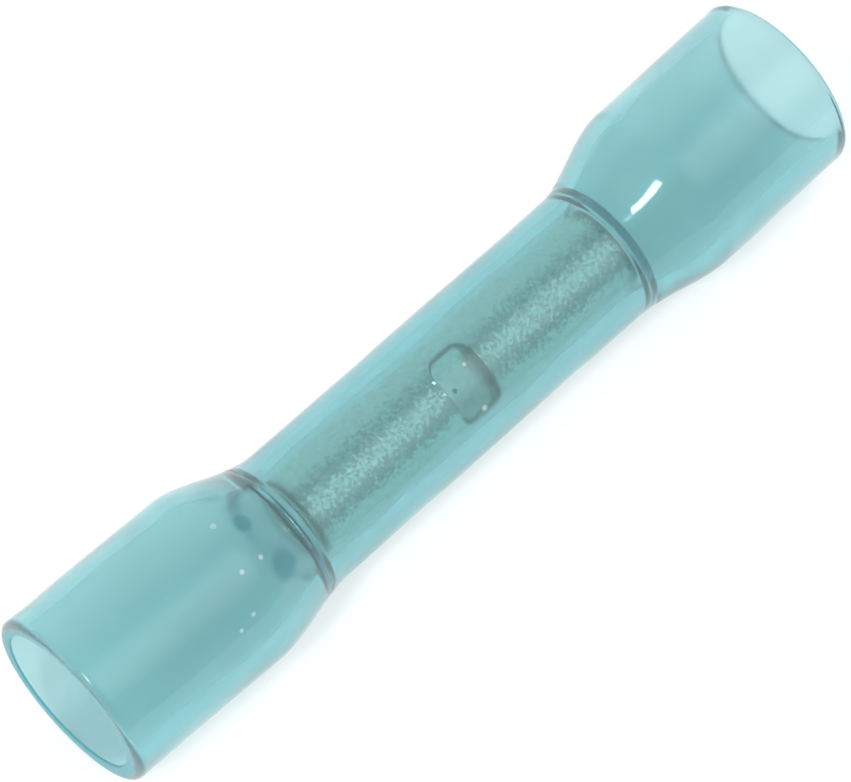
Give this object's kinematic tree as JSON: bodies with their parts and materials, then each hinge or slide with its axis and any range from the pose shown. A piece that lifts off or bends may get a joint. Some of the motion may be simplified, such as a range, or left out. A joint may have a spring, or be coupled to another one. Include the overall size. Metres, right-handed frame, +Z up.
{
  "type": "butt splice connector",
  "caption": "Heat-shrink butt splice connector: clear blue sleeve with flared ends, shrunk on a tinned crimp barrel with a punched wire stop.",
  "frame": {"origin": "on the surface that the splice lies on, under the middle of its length", "axes": "X along the splice from one mouth to the other, +Z up from the surface it lies on"},
  "size_m": [0.0364, 0.0076, 0.0074],
  "materials": {
    "clear_blue_sleeve": "gloss",
    "tinned_copper": "satin"
  },
  "bodies": {
    "root": {"insulating_sleeve": "clear_blue_sleeve", "crimp_barrel": "tinned_copper"}
  },
  "joints": []
}
